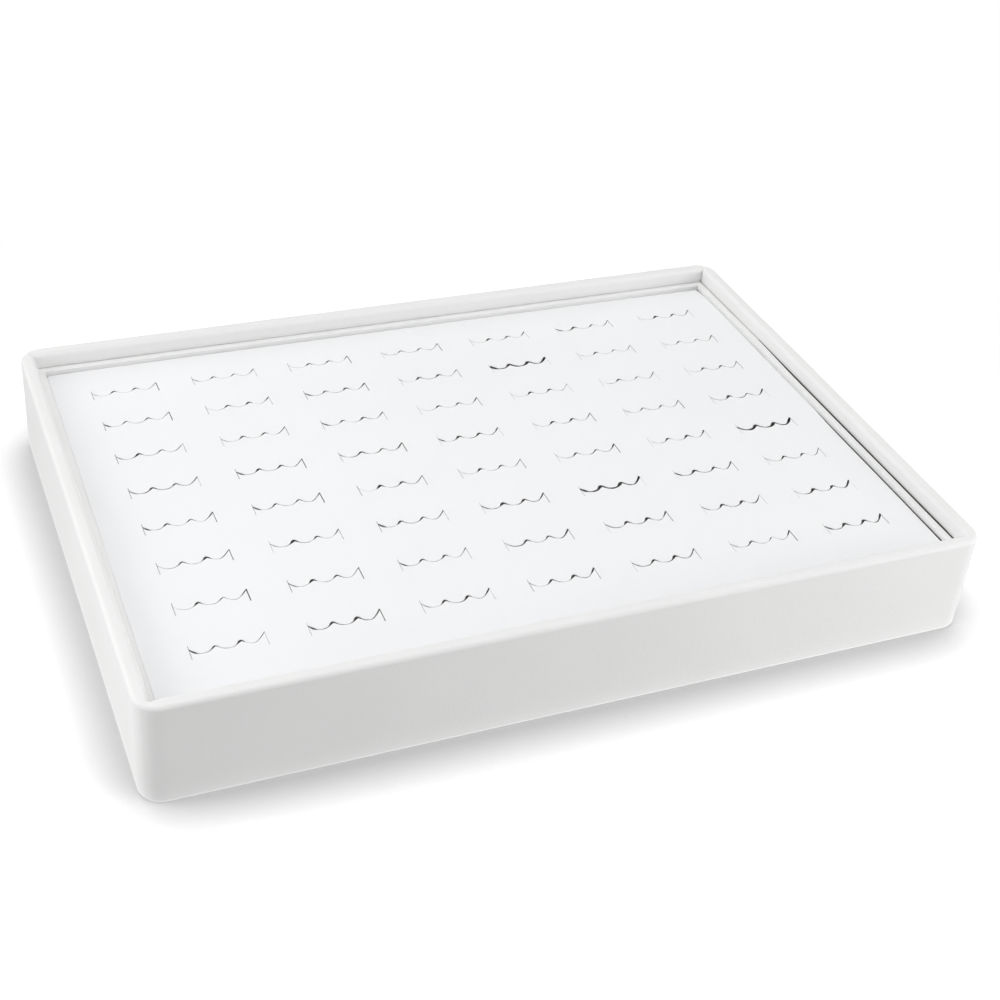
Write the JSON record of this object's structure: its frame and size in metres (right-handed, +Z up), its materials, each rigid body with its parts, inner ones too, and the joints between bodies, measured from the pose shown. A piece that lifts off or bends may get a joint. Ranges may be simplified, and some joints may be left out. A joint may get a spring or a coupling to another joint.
{
  "type": "ring tray",
  "caption": "Low rectangular display tray covered in white leatherette, with a liner frame and a crowned foam pad cut with rows of scalloped slits that hold finger rings.",
  "frame": {"origin": "middle of the underside, on the surface that the tray stands on", "axes": "+X along the long side to the right, +Y across the tray to the back, +Z up out of the open top"},
  "size_m": [0.3, 0.212, 0.039],
  "materials": {
    "tray_leatherette": "satin, very fine grain",
    "wall_board": "raw fibreboard",
    "base_board": "raw hardboard",
    "lining_paper": "matt",
    "liner_leatherette": "satin, fine grain",
    "backing_card": "matt grey board",
    "foam": "open-cell foam",
    "pad_leatherette": "smooth matt"
  },
  "bodies": {
    "root": {"outer_wrap": "tray_leatherette", "front_board": "wall_board", "back_board": "wall_board", "left_board": "wall_board", "right_board": "wall_board", "base_panel": "base_board", "underside_lining": "lining_paper", "liner_front": "liner_leatherette", "liner_back": "liner_leatherette", "liner_left": "liner_leatherette", "liner_right": "liner_leatherette", "pad_card": "backing_card", "pad_foam": "foam", "pad_cover": "pad_leatherette"}
  },
  "joints": []
}
